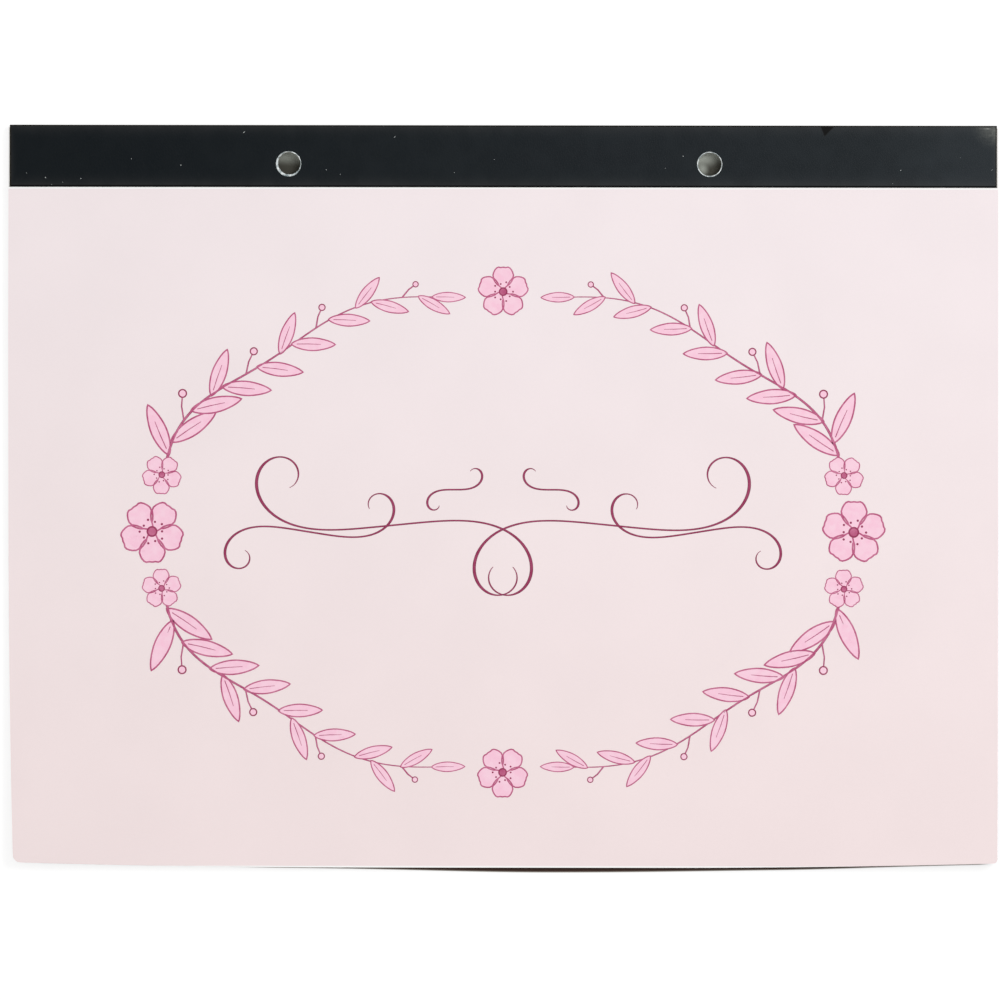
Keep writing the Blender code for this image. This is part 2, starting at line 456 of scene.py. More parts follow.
tapeLook = {
    "dark": (0.0005, 0.0030, 0.0050, 1),
    # the grey that the painted sheen reaches
    "sheenOrDull": (0.0160, 0.0215, 0.0260, 1),
    "paintedSheen": (0.04, 0.60),  # painted sheen: how far it is greyed at its left and right ends
    "endSheen": (0.72, 0.50),  # from this share of the way to the right end, this much more painted sheen
    "patchy": (0.2, 1.3, 0.86, 1.14),  # range of the mottle, and how much painted sheen it lets through
    "rubAndShine": (0.0165, 0.0150, 0.0140, 1),  # painted highlight, added along the edges
    "shineReach": 6 * mm,
    "shinePower": 3.0,
    "frontDepth": 0.25 * mm,  # what lies no deeper than this is the front flap's face
    "rim": (0.0060, 0.0042, 0.0004, 1),
    "rimBand": (0.30 * mm, 0.50 * mm),
    "rimDepth": 1.0 * mm,  # how far it reaches down the spine
    "rimFray": (0.3, 0.6, 0.75, 1.0),  # range of the fine grain, and how much of the rim it shows
    # painted shade along the front flap's cut edge
    "flapEdgeShade": (0.0010, 0.0010, 0.0010, 1),
    "flapShadeBand": (0.34 * mm, 0.72 * mm),
    "flapShadeMost": 0.96,
    "flapEdge": 95.2 * mm,
    # painted shade in the small nick
    "nickShadeColour": (0.0042, 0.0036, 0.0034, 1),
    "nick": [(97.4, 114.6), (98.9, 110.9), (102.6, 114.6)],  # corners of a small dark nick, in mm
    "nickBlur": 0.3 * mm,
    "nickDepth": (0.7 * mm, 0.3 * mm),  # gone and full at these depths under the face
    "nickFray": (0.2, 0.5, 0.65, 0.9),
    "grainSize": 0.62 * mm,
    "grainSpread": 0.9,  # how unevenly the cells of the grain lie
    "creaseWidth": 0.16,
    "fineGrain": (0.12 * mm, 3),  # size and detail
    "fineShare": 0.5,  # how much it adds to the pores and to the mottle
    "mottle": (5 * mm, 4),
    "mottleStretch": (0.8, 0.7, 1),
    "mottleBand": (0.3, 0.75),
    "roughness": (0.38, 0.44),
    "dull": 0.9,  # roughness where it is worn through
}
scuffLook = {
    "colour": colour(128, 130, 124),
    "corner": Vector((152.0, 114.3, 0)) * mm,
    "reach": 8.5 * mm,
    "haze": 0.62,
    "fray": (0.9 * mm, 5, 0.6),  # size, detail and roughness
    "frayStretch": [(0.3, 1, 1), (1, 0.3, 1)],
    "frayBand": (0.42, 0.70, 0.35, 1.0),
    "scratchColour": colour(190, 192, 186),
    # from x to x, at y, half its depth
    "scratch": (145.6 * mm, 150.2 * mm, 113.35 * mm, 0.26 * mm),
    "scratchFade": 0.8 * mm,  # it is brightest this far before its end
    "scratchBreaks": (1.1 * mm, 4),
    "scratchShow": (0.1, 0.62),
}


def insideTriangle(x, y, corners, softness):
    # 1 inside the three sides, which run counter-clockwise
    mask = 1.0
    for a, b in zip(corners, corners[1:] + corners[:1]):
        run = Vector((b[0] - a[0], b[1] - a[1])).normalized()
        level = (-run.y * a[0] + run.x * a[1]) * mm
        depth = calc("MULTIPLY_ADD", x, -run.y, calc("MULTIPLY_ADD", y, run.x, -level))
        mask = times(ramp(depth, -softness, softness), mask)
    return mask


def scuffedCorner(vector, x, y, top, tint):
    # soft rubbed haze at the right end of the head, and one bright scratch beside the head edge
    corner = scuffLook["corner"]
    away = distanceTo(vector, (corner.x, corner.y, top))
    patch = ramp(away, 0.0, scuffLook["reach"], 1.0, 0.0)
    frays = []
    for stretch in scuffLook["frayStretch"]:
        frays.append(grain(stretched(vector, stretch), *scuffLook["fray"]))
    fray = ramp(calc("MAXIMUM", *frays), *scuffLook["frayBand"])
    rubAndShine = times(times(patch, fray), scuffLook["haze"])
    tint = mixed(rubAndShine, tint, scuffLook["colour"])
    start, stop, level, half = scuffLook["scratch"]
    offLine = calc("ABSOLUTE", minus(y, level))
    rise = ramp(x, start, stop - scuffLook["scratchFade"])
    towardsEnd = times(rise, calc("LESS_THAN", x, stop))
    onLine = times(ramp(offLine, 0.0, half, 1.0, 0.0), towardsEnd)
    breaks = grain(vector, *scuffLook["scratchBreaks"])
    broken = ramp(breaks, *midNoise, *scuffLook["scratchShow"])
    return mixed(times(onLine, broken), tint, scuffLook["scratchColour"])


def tapeMaterial(low, high):
    vector = startMaterial("tapeGrain")
    x, y, z = placeParts(vector)
    inputs = {"Vector": vector, "Scale": 1 / tapeLook["grainSize"],
              "Randomness": tapeLook["grainSpread"]}
    cells = addNode("ShaderNodeTexVoronoi", inputs, feature="DISTANCE_TO_EDGE")
    pores = ramp(cells.outputs["Distance"], 0.0, tapeLook["creaseWidth"])
    fine, fineShare = grain(vector, *tapeLook["fineGrain"]), tapeLook["fineShare"]
    mottle = grain(stretched(vector, tapeLook["mottleStretch"]), *tapeLook["mottle"])
    mottle = ramp(mottle, *tapeLook["mottleBand"])
    # painted sheen: greyed more and more towards the right, where the lamp's sheen falls
    endShare, endMore = tapeLook["endSheen"]
    paintedSheen = ramp(x, low.x, high.x, *tapeLook["paintedSheen"])
    paintedSheen = plus(paintedSheen, ramp(x, endShare * high.x, high.x, 0.0, endMore))
    patchy = ramp(calc("MULTIPLY_ADD", fine, fineShare, mottle), *tapeLook["patchy"])
    tint = mixed(times(paintedSheen, patchy), tapeLook["dark"], tapeLook["sheenOrDull"])
    tint = scuffedCorner(vector, x, y, high.z, tint)
    # painted highlight: paler towards the edges of the front flap
    toSide = minus(high.x, calc("ABSOLUTE", x))
    toHead = minus(high.y, y)
    toFlap = minus(y, tapeLook["flapEdge"])
    toLong = calc("MINIMUM", toHead, toFlap)
    toEdge = calc("MINIMUM", toLong, times(toSide, 2.0))  # half as far in at the ends
    near = calc("MULTIPLY_ADD", toEdge, -1 / tapeLook["shineReach"], 1.0)
    near = calc("MAXIMUM", near, 0.0)
    onFront = calc("GREATER_THAN", z, high.z - tapeLook["frontDepth"])
    edgeShine = times(calc("POWER", near, tapeLook["shinePower"]), times(patchy, onFront))
    tint = mixed(edgeShine, tint, tapeLook["rubAndShine"], "ADD")
    # small nick in the head edge, with painted shade in it
    nick = insideTriangle(x, y, tapeLook["nick"], tapeLook["nickBlur"])
    nick = times(nick, ramp(fine, *tapeLook["nickFray"]))
    nick = times(nick, ramp(z, *[high.z - depth for depth in tapeLook["nickDepth"]]))
    tint = mixed(nick, tint, tapeLook["nickShadeColour"])
    # painted shade: a dark line along the front flap's cut edge, and a dull brown rim on the fold and
    # the ends
    flapEdgeShade = ramp(toFlap, *tapeLook["flapShadeBand"], tapeLook["flapShadeMost"], 0.0)
    flapEdgeShade = times(flapEdgeShade, onFront)
    tint = mixed(flapEdgeShade, tint, tapeLook["flapEdgeShade"])
    toRim = calc("MINIMUM", toSide, toHead)
    rim = times(ramp(toRim, *tapeLook["rimBand"], 1.0, 0.0),
                ramp(z, high.z - tapeLook["rimDepth"], high.z - tapeLook["frontDepth"]))
    rim = times(rim, ramp(fine, *tapeLook["rimFray"]))
    roughness = ramp(mottle, 0.0, 1.0, *tapeLook["roughness"])
    for sheenOrDull in (times(rim, tapeLook["dull"]), times(nick, tapeLook["dull"]), flapEdgeShade):
        roughness = calc("MAXIMUM", roughness, sheenOrDull)
    setInput("Roughness", roughness)
    height = plus(pores, times(fine, fineShare))
    return finishMaterial(mixed(rim, tint, tapeLook["rim"]), height)


pulpLook = {
    "fibre": (0.7 * mm, 5, 0.65, 0.8),  # size, detail, roughness and distortion
    "stretch": (0.35, 1, 1),
    "dark": colour(122, 112, 101),
    "pale": colour(158, 149, 138),
    # stretch, size, range of the noise and colour of the dark and of the pale flecks
    "flecks": [
        ((1, 0.4, 1), 1.3 * mm, (0.66, 0.72), colour(84, 74, 66)),
        ((1, 1, 1), 0.9 * mm, (0.68, 0.74), colour(188, 181, 170)),
    ],
    "fleckMost": 0.6,
}


def chipboardMaterial():
    vector = startMaterial("chipboardFlecks")
    fibre = grain(stretched(vector, pulpLook["stretch"]), *pulpLook["fibre"])
    tint = mixed(ramp(fibre, *midNoise), pulpLook["dark"], pulpLook["pale"])
    for stretch, size, band, fleckColour in pulpLook["flecks"]:
        flecks = grain(stretched(vector, stretch), size)
        tint = mixed(ramp(flecks, *band, 0.0, pulpLook["fleckMost"]), tint, fleckColour)
    return finishMaterial(tint, fibre)


glueLook = {
    "dull": colour(226, 224, 214),
    "pale": colour(243, 242, 236),
    "drift": (3 * mm, 4),
    "stretch": (0.3, 1, 1),
    "scatter": (0.15, 0.4 * mm),  # how much light goes in, and how far
}


def glueMaterial():
    vector = startMaterial("paddingGlueFilm")
    drift = grain(stretched(vector, glueLook["stretch"]), *glueLook["drift"])
    weight, scale = glueLook["scatter"]
    setInput("Subsurface Weight", weight)
    setInput("Subsurface Scale", scale)
    return finishMaterial(mixed(ramp(drift, *midNoise), glueLook["dull"], glueLook["pale"]), drift)


drilledLook = {
    "torn": (colour(134, 147, 150), colour(246, 252, 252)),
    "wall": (colour(206, 204, 198), colour(246, 245, 241)),
    "wallTop": (3.55 * mm, 3.85 * mm),  # the wall gives way to the torn rim between these levels
    "fibre": (0.22 * mm, 5, 0.7, 0.4),
    "clump": 1.5 * mm,
    "clumpShare": 1.4,  # how much the clumps add to the fibres
    "tornBand": (0.95, 1.45),
    "layer": 0.18 * mm,
    "wobble": 0.08 * mm,
    # painted shade in the gaps between the sheets' edges
    "seamShade": 0.045 * mm,
    "seamShadeMost": 0.8,
    "layerShadeColour": colour(150, 147, 140),
}


def tornPaperMaterial():
    vector = startMaterial("tornPaper")
    z = placeParts(vector)[2]
    fibre = grain(vector, *drilledLook["fibre"])
    clumps = grain(vector, drilledLook["clump"])
    amount = calc("MULTIPLY_ADD", clumps, drilledLook["clumpShare"], fibre)
    torn = mixed(ramp(amount, *drilledLook["tornBand"]), *drilledLook["torn"])
    # the wall under the rim is the edges of all the sheets, lying on each other, with painted shade in
    # the thin gaps between them
    wall = mixed(ramp(fibre, *midNoise), *drilledLook["wall"])
    wobble = calc("MULTIPLY_ADD", clumps, drilledLook["wobble"], z)
    seamShade = nearLine(wobble, 0.0, drilledLook["layer"])
    seamShade = ramp(seamShade, 0.0, drilledLook["seamShade"], drilledLook["seamShadeMost"], 0.0)
    wall = mixed(seamShade, wall, drilledLook["layerShadeColour"])
    atRim = ramp(z, *drilledLook["wallTop"])
    return finishMaterial(mixed(atRim, wall, torn), fibre)


lintLook = {
    "grey": colour(168, 174, 174),
    "pale": colour(236, 240, 238),
    "fibre": 0.05 * mm,
}


def lintMaterial():
    fibre = grain(startMaterial("lintSpecks"), lintLook["fibre"])
    return finishMaterial(mixed(fibre, lintLook["grey"], lintLook["pale"]))


coverLow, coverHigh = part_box("cover")
tapeLow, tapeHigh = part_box("binding_tape")
coverPrint = coverPrintMaterial(coverLow, coverHigh)
cardCore = plainPaperMaterial("cardCore", coverLook["core"], coverLook["coreDull"])
leafPrinted = leafPrintMaterial(coverHigh.y)
leafPlain = plainPaperMaterial("leafPlain", leafPrint["paper"], leafPrint["dull"])
inkBlush = inkMaterial("inkBlush", colour(252, 200, 221), colour(253, 212, 228))
inkRose = inkMaterial("inkRose", colour(180, 70, 116), colour(203, 112, 148))
inkWine = inkMaterial("inkWine", colour(146, 34, 80), colour(160, 58, 98))
tapeGrain = tapeMaterial(tapeLow, tapeHigh)
chipboard = chipboardMaterial()
glueFilm = glueMaterial()
tornPaper = tornPaperMaterial()
lint = lintMaterial()


def dressNode(name, material):
    for slot in frame["nodes"][name].material_slots:
        slot.material = material


dressNode("binding_tape", tapeGrain)
dressNode("backing_board", chipboard)
dressNode("padding_glue", glueFilm)
dressNode("cover_stub", cardCore)
for tag in leafTags:
    dressNode(f"leaf_stub_{tag}", leafPlain)
print("materials made, CAD nodes dressed")


# sheets: the cover and the month leaves

sheetShape = {
    "columns": 62,
    "rows": 42,
    "cornerRadii": {-1: 2.3 * mm, 1: 1.2 * mm},  # at the left and the right foot corner
    "cornerSegments": 6,
    "toTape": 0.24 * mm,  # the perforated head edge reaches this much nearer to the stubs
    "lowestShare": 0.5,  # how much of the cover's curl the lowest leaf has
    "corner": (2.6 * mm, 1.5 * mm),  # the curl starts from what lies this near, in all and along y
}
# how the left and the right foot corner have curled up: reach, shift inwards, shift towards the
# head and lift in mm, and how the shift fades with the distance from the corner
curls = {
    -1: [(105, 1.30, 1.40, 3.1, "SHARP"), (160, 0.55, 0.0, 0.0, "LINEAR")],
    1: [(104, 0.25, 1.42, 3.1, "SHARP")],
}


def curlCorners(piece, low, high, share):
    # the piece is in edit mode
    nearBoth, nearFoot = sheetShape["corner"]
    for side, steps in curls.items():
        cornerX = side * high.x
        selectVertices(piece, lambda co: abs(co.x - cornerX) + co.y - low.y < nearBoth
                       and co.y < low.y + nearFoot)
        for reach, inward, headward, lift, falloff in steps:
            pull((-side * inward * mm, headward * mm, lift * mm * share), falloff, reach * mm)


sheets = {}


def makeSheet(name, node, body, share, front, back):
    low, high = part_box(node)
    head = high.y + sheetShape["toTape"]
    deselectAll()
    bpy.ops.mesh.primitive_grid_add(
        x_subdivisions=sheetShape["columns"], y_subdivisions=sheetShape["rows"], size=1,
        location=((low.x + high.x) / 2, (low.y + head) / 2, high.z))
    sheet = nameAdded(name)
    sheet.scale = (high.x - low.x, head - low.y, 1)
    applyPlace(sheet)
    editMode("VERT")
    for side, radius in sheetShape["cornerRadii"].items():
        selectVertices(sheet, lambda co: co.y < low.y + tiny and co.x * side > high.x - tiny)
        bpy.ops.mesh.bevel(offset=radius, segments=sheetShape["cornerSegments"], affect="VERTICES")
    curlCorners(sheet, low, high, share)
    objectMode()
    paint(sheet, front, back)
    addThickness(sheet, high.z - low.z, backSlot=1)
    bpy.ops.object.shade_smooth_by_angle(angle=smoothAngle)
    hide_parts(node)
    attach(sheet, body)
    sheets[node] = sheet


makeSheet("coverSheet", "cover", "cover_sheet", 1.0, coverPrint, cardCore)
for index, tag in enumerate(leafTags):
    share = 1 - (1 - sheetShape["lowestShare"]) * (index + 1) / leafCount
    makeSheet(f"monthLeaf_{tag}", f"month_leaf_{tag}", f"leaf_{tag}", share,
              leafPrinted, leafPlain)
print("cover and month leaves made")


# backing board, warped a little less than the leaves that lie on it

boardShape = {
    "share": 0.44,  # how much of the cover's curl it has
    "cut": 9 * mm,  # the board is cut into strips this wide, so that it can bend
    # how far the left foot corner is worn in, its reach, and where the wear starts
    "wornCorner": (0.45 * mm, 0.40 * mm, 7 * mm, 1.1 * mm),
    "weld": 0.001 * mm,
    "flatWithin": math.radians(1),
}


def cutAcross(piece, start, end, direction):
    count = round((end - start) / boardShape["cut"])
    for step in range(1, count):
        point = Vector(direction) * (start + (end - start) * step / count)
        bpy.ops.mesh.select_all(action="SELECT")
        bpy.ops.mesh.bisect(plane_co=point, plane_no=direction)


def makeBoard():
    low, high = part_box("backing_board")
    board = frame["nodes"]["backing_board"].copy()
    board.data = board.data.copy()
    for key in list(board.keys()):
        del board[key]
    board.parent = None
    addToScene(board)
    pick(board)
    board.name = "warpedBoard"
    editMode("VERT", "SELECT")
    bpy.ops.mesh.remove_doubles(threshold=boardShape["weld"])
    bpy.ops.mesh.dissolve_limited(angle_limit=boardShape["flatWithin"])
    cutAcross(board, low.x, high.x, (1, 0, 0))
    cutAcross(board, low.y, high.y, (0, 1, 0))
    inward, headward, reach, start = boardShape["wornCorner"]
    selectVertices(board, lambda co: (co.x - low.x) + (co.y - low.y) < start)
    pull((inward, headward, 0), "SMOOTH", reach)
    curlCorners(board, low, high, boardShape["share"])
    objectMode()
    bpy.ops.object.shade_smooth_by_angle(angle=smoothAngle)
    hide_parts("backing_board")
    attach(board, "bound_block")


makeBoard()
print("board made")


# what shows in and on the binding: torn paper round the holes, and lint on the tape

holeRims = {
    "left": {"width": 0.43, "shift": (0.25, 0.25), "ragged": 0.13},
    "right": {"width": 0.32, "shift": (0.04, 0.04), "ragged": 0.06},
}
rimShape = {
    "outer": 3.93 * mm,
    "crown": 0.20 * mm,
    "sunk": 0.10 * mm,  # under the tape's face
    "foot": 1.7 * mm,
    "segments": 96,
    "roundSegments": 12,
    "tears": [(0.8 * mm, 1.0), (0.3 * mm, 0.5)],  # size and share of each
    "tearsReach": 0.1 * mm,  # how far past the middle of the rim
    "smoothAngle": math.radians(40),
}


def holeCentre(side):
    boxes = {opening["name"]: opening["box_m"] for opening in frame["record"]["physics"]["openings"]}
    low, high = boxes[f"{side}_hole"]
    return Vector(((low[0] + high[0]) / 2, (low[1] + high[1]) / 2, 0))


def makeHoleRim(side):
    rim = holeRims[side]
    centre = holeCentre(side)
    width = rim["width"] * mm
    middle = rimShape["outer"] - width / 2
    top = tapeHigh.z - rimShape["sunk"]
    crown = Vector((centre.x, centre.y, top - rimShape["crown"]))
    deselectAll()
    bpy.ops.mesh.primitive_torus_add(
        major_radius=middle, minor_radius=width / 2, major_segments=rimShape["segments"],
        minor_segments=rimShape["roundSegments"], location=crown)
    collar = nameAdded(f"holeRim_{side}")
    applyPlace(collar)
    editMode("VERT", "SELECT")
    flat = 2 * rimShape["crown"] / width
    squeeze((1, 1, flat), crown)
    # the lower half goes down the wall, and the inner wall leans off centre as the sheets do
    selectVertices(collar, lambda co: co.z < crown.z - tiny)
    bpy.ops.transform.translate(value=(0, 0, rimShape["foot"] - top))
    selectVertices(collar, lambda co: (co - centre).xy.length < middle - tiny)
    bpy.ops.transform.translate(value=(rim["shift"][0] * mm, rim["shift"][1] * mm, 0))
    objectMode()
    for vertex in collar.data.vertices:
        out = (vertex.co - centre).to_2d()
        if out.length < middle + rimShape["tearsReach"]:
            ragged = sum(share * noise.noise(vertex.co / size) for size, share in rimShape["tears"])
            out = out.normalized() * ragged * rim["ragged"] * mm
            vertex.co.x += out.x
            vertex.co.y += out.y
    pick(collar)
    bpy.ops.object.shade_smooth_by_angle(angle=rimShape["smoothAngle"])
    paint(collar, tornPaper)
    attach(collar, "bound_block")


for side in holeRims:
    makeHoleRim(side)

lintShape = {
    "subdivisions": 2,
    "flat": 0.16,
    "bulge": (0.2, 0.12, 0.05),  # from this share of its size on, one end is moved by these shares
    "turns": (41, 67),  # degrees of the first speck and of each step
    "threadTurn": 38,
    "threadStretch": 4,  # what is longer than this is a thread
}
# place from the pad's middle, size and stretch, in mm
lintPlaces = [
    (-141.0, 98.0, 0.26, 1.0), (-130.1, 97.7, 0.26, 1.0), (-114.5, 103.8, 0.18, 1.0),
    (-99.3, 101.9, 0.24, 1.1), (-146.8, 99.4, 0.13, 1.5), (-135.7, 96.6, 0.13, 1.6),
    (-139.1, 95.8, 0.13, 1.0), (-54.5, 100.5, 0.15, 1.8), (-50.2, 99.1, 0.15, 1.2),
    (-15.1, 99.7, 0.15, 1.0), (-2.8, 103.7, 0.16, 1.0), (49.9, 101.1, 0.14, 1.0),
    (55.4, 104.8, 0.22, 1.0), (122.4, 100.5, 0.20, 1.0), (140.7, 104.4, 0.14, 1.0),
    (150.5, 100.7, 0.20, 1.0), (119.9, 96.4, 0.14, 1.4), (-79.9, 112.0, 0.14, 5.0),
    (-33.5, 110.6, 0.10, 7.0),
]


def makeLint():
    specks = []
    for index, (x, y, size, stretch) in enumerate(lintPlaces):
        deselectAll()
        bpy.ops.mesh.primitive_ico_sphere_add(subdivisions=lintShape["subdivisions"],
                                              radius=size / 2 * mm)
        speck = bpy.context.object
        editMode("VERT")
        grab, along, aside = [share * size * mm for share in lintShape["bulge"]]
        selectVertices(speck, lambda co: co.x > grab)
        bpy.ops.transform.translate(value=(along, aside, 0))
        objectMode()
        first, step = lintShape["turns"]
        turn = first + step * index if stretch < lintShape["threadStretch"] else lintShape["threadTurn"]
        speck.data.transform(Matrix.Diagonal((stretch, 1, lintShape["flat"] / stretch ** 0.5, 1)))
        speck.data.transform(Matrix.Rotation(math.radians(turn), 4, "Z"))
        shift(speck, x * mm, y * mm, tapeHigh.z)
        bpy.ops.object.shade_smooth()
        specks.append(speck)
    made = joinPieces(specks, "tapeLint")
    paint(made, lint)
    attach(made, "bound_block")


makeLint()
print("hole rims and lint made")


# printed ink: every print is a very thin solid lying on its sheet

inkShape = {
    "lift": 0.012 * mm,
    "thick": 0.012 * mm,
    "coverLift": 0.03 * mm,
    "strokeFlat": 0.03,  # height of a pen stroke as a share of its width
    "motifSides": 28,
    "discSides": 24,
    "discRim": 0.3,
    "curveSteps": 4,  # in the numbers' curves
}


def penStroke(points, widths, ink, z):
    line = bpy.data.curves.new("penStroke", "CURVE")
    line.dimensions = "3D"
    line.bevel_depth = 0.5 * mm  # so that a width of 1 is 1 mm
    line.bevel_resolution = 1
    line.use_fill_caps = True
    path = line.splines.new("POLY")
    path.points.add(len(points) - 1)
    for spot, (x, y), width in zip(path.points, points, widths):
        spot.co = (x * mm, y * mm, 0, 1)
        spot.radius = width
    stroke = bpy.data.objects.new("penStroke", line)
    addToScene(stroke)
    pick(stroke)
    bpy.ops.object.convert(target="MESH")
    stroke = bpy.context.object
    flattening = Matrix.Diagonal((1, 1, inkShape["strokeFlat"], 1))
    stroke.data.transform(Matrix.Translation((0, 0, z)) @ flattening)
    paint(stroke, ink)
    return stroke


# pen scrolls in the middle of the cover, each a line drawn by its heading, and mirrored
# middle in mm, length in mm, how far each end curls in radians, how late it curls, lean, thickest width
penScrolls = [
    (34, 0, 150, 5.6, 6.0, 3.0, -0.10, 1.00),
    (60, -2, 90, -5.4, -6.0, 3.0, 0.16, 0.85),
    (15, 11, 32, -4.2, -4.6, 2.4, 0.0, 0.70),
]
scrollShape = {
    "middleY": -9,
    "steps": 200,
    "thinnest": 0.50,
    "tip": (0.25, 7),  # width at a tip, and how fast it grows to the full one
    "swellPower": 1.5,
}


def makeScrolls():
    strokes = []
    steps = scrollShape["steps"]
    for middleX, middleY, length, curlIn, curlOut, late, lean, thickest in penScrolls:
        spots, headings = [Vector((0, 0))], []
        for step in range(steps):
            along = 2 * (step + 0.5) / steps - 1
            heading = (curlOut if along > 0 else curlIn) * abs(along) ** late + lean
            headings.append(heading)
            spots.append(spots[-1] + pointing(heading) * length / steps)
        headings.append(headings[-1])
        halfway = spots[steps // 2]
        widths = []
        tip, growth = scrollShape["tip"]
        for step, heading in enumerate(headings):
            taper = min(1, tip + growth * step / steps, tip + growth * (1 - step / steps))
            swell = abs(math.sin(heading)) ** scrollShape["swellPower"]
            swell *= thickest - scrollShape["thinnest"]
            widths.append((scrollShape["thinnest"] + swell) * taper)
        for mirror in (1, -1):
            points = []
            for spot in spots:
                x = mirror * (middleX + spot.x - halfway.x)
                points.append((x, middleY + spot.y - halfway.y + scrollShape["middleY"]))
            strokes.append(penStroke(points, widths, inkWine, coverHigh.z + inkShape["coverLift"]))
    scrolls = joinPieces(strokes, "coverScrolls")
    layOn(scrolls, sheets["cover"], coverHigh.z)
    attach(scrolls, "cover_sheet")


makeScrolls()
print("pen scrolls drawn")


# wreath round the scrolls: four sprays of leaves and buds with blossoms between them

wreathShape = {
    "middle": Vector((0, -11)),
    "halfWidth": 108,
    "halfDepth": 74,
    "startAngle": 16,  # degrees from the wreath's left or right end
    "endAngle": 78.5,
    "pairs": 8,
    "leafLength": 15.0,
    "tipScale": 0.62,
    "outline": 0.50,
    "stemWidth": 0.75,
    "veinWidth": 0.30,
    "budRadius": 1.5,
    "budStalk": 8.5,
    "budWidths": [0.5, 0.44, 0.4],
    "steps": 60,
    "stemTaper": (1.15, 0.75),  # how much of its width it has at its foot, and how much it loses
    "ripple": (2.0, 9.5),  # how far the stem sways, and how fast
    "firstLeaf": 0.35,  # a pair's first leaf sits this share into its stretch of the stem
    "lookAhead": 0.02,  # headings are taken over this share of the stem
    "spread": (40, 8),  # degrees between leaf and stem, and how many fewer at the tip
    "partnerLag": 0.045,  # a pair's second leaf sits this share further on
    "leafRise": (0.004, 0.001, 0.013),  # in mm: first pair, each step, end leaf
    "endLeafScale": 0.6,
    "budTurns": (48, 34),  # degrees off the stem, at its foot and at its tip
    "stalkParts": (0.55, 0.5),  # lengths of a stalk below and above its bend
    "budRise": 0.014,
}


def outlined(piece, ink, outlineInk, width):
    # an inset rim takes the darker ink
    editMode("FACE", "SELECT")
    bpy.ops.mesh.inset(thickness=width * mm, depth=0)
    objectMode()
    paint(piece, ink, outlineInk)
    for face in piece.data.polygons:
        face.material_index = 0 if face.select else 1


def startMotif(name, half, narrow):
    # a disc from the motif's foot at the origin, squeezed and left in edit mode
    deselectAll()
    bpy.ops.mesh.primitive_circle_add(vertices=inkShape["motifSides"], radius=half,
                                      fill_type="NGON", location=(half, 0, 0))
    motif = nameAdded(name)
    applyPlace(motif)
    editMode("VERT", "SELECT")
    squeeze(narrow, (half, 0, 0))
    return motif


# the middle of a leaf stays round, and its tip and foot are pinched and drawn out by these shares
leafMotifShape = {
    "narrow": (0.9, 0.36, 1),
    "ends": {1: 0.34, -1: 0.22},
    "endFrom": 0.88,
    "pinch": (1, 0.2, 1),
    "reach": 0.7,
    "vein": [(0.1, 0), (0.4, 0.1), (0.72, 0)],  # share of the length, and mm aside
    "veinTip": 0.6,
    "veinRise": 0.006 * mm,
}


def makeLeafMotif():
    half = wreathShape["leafLength"] / 2 * mm
    motif = startMotif("leafMotif", half, leafMotifShape["narrow"])
    for end, push in leafMotifShape["ends"].items():
        selectVertices(motif, lambda co: (co.x - half) * end > leafMotifShape["endFrom"] * half)
        squeeze(leafMotifShape["pinch"], (half, 0, 0))
        pull((end * push * half, 0, 0), "SHARP", leafMotifShape["reach"] * half)
    outlined(motif, inkBlush, inkRose, wreathShape["outline"])
    addThickness(motif, inkShape["thick"])
    width = wreathShape["veinWidth"]
    widths = [width, width, leafMotifShape["veinTip"] * width]
    points = [(share * wreathShape["leafLength"], aside) for share, aside in leafMotifShape["vein"]]
    vein = penStroke(points, widths, inkRose, leafMotifShape["veinRise"])
    return joinPieces([motif, vein], "leafMotif")


# a petal is narrowed at its foot and notched at its tip, all in shares of half its length
petalShape = {
    "half": 5.25 * mm,
    "narrow": (1, 0.82, 1),
    "footTo": 0.7,
    "foot": (1, 0.55, 1),
    "footReach": 0.6,
    "tipFrom": 1.96,
    "notch": -0.16,
    "notchReach": 0.45,
}


def makePetalMotif():
    half = petalShape["half"]
    motif = startMotif("petalMotif", half, petalShape["narrow"])
    selectVertices(motif, lambda co: co.x < petalShape["footTo"] * half)
    squeeze(petalShape["foot"], (0, 0, 0), use_proportional_edit=True,
            proportional_edit_falloff="SMOOTH", proportional_size=petalShape["footReach"] * half)
    selectVertices(motif, lambda co: co.x > petalShape["tipFrom"] * half)
    pull((petalShape["notch"] * half, 0, 0), "SHARP", petalShape["notchReach"] * half)
    outlined(motif, inkBlush, inkRose, wreathShape["outline"])
    addThickness(motif, inkShape["thick"])
    return motif


def makeDisc(radius, ink):
    deselectAll()
    bpy.ops.mesh.primitive_circle_add(vertices=inkShape["discSides"], radius=radius * mm,
                                      fill_type="NGON")
    disc = nameAdded("inkDisc")
    outlined(disc, ink, inkWine, radius * inkShape["discRim"])
    addThickness(disc, inkShape["thick"])
    return disc


def ovalPoint(angle, outward=0.0):
    # angle in degrees round the wreath, outward in mm
    turn = math.radians(angle)
    width, depth = wreathShape["halfWidth"], wreathShape["halfDepth"]
    spot = Vector((width * math.cos(turn), depth * math.sin(turn)))
    normal = Vector((depth * math.cos(turn), width * math.sin(turn))).normalized()
    return wreathShape["middle"] + spot + normal * outward


def quarterPoint(share, xSide, ySide):
    # a point of the stem in one quarter of the wreath
    angle = wreathShape["startAngle"] + share * (wreathShape["endAngle"] - wreathShape["startAngle"])
    sway, pace = wreathShape["ripple"]
    ripple = sway * math.sin(share * pace)
    spot = ovalPoint(angle, ripple) - wreathShape["middle"]
    return wreathShape["middle"] + Vector((xSide * spot.x, ySide * spot.y))


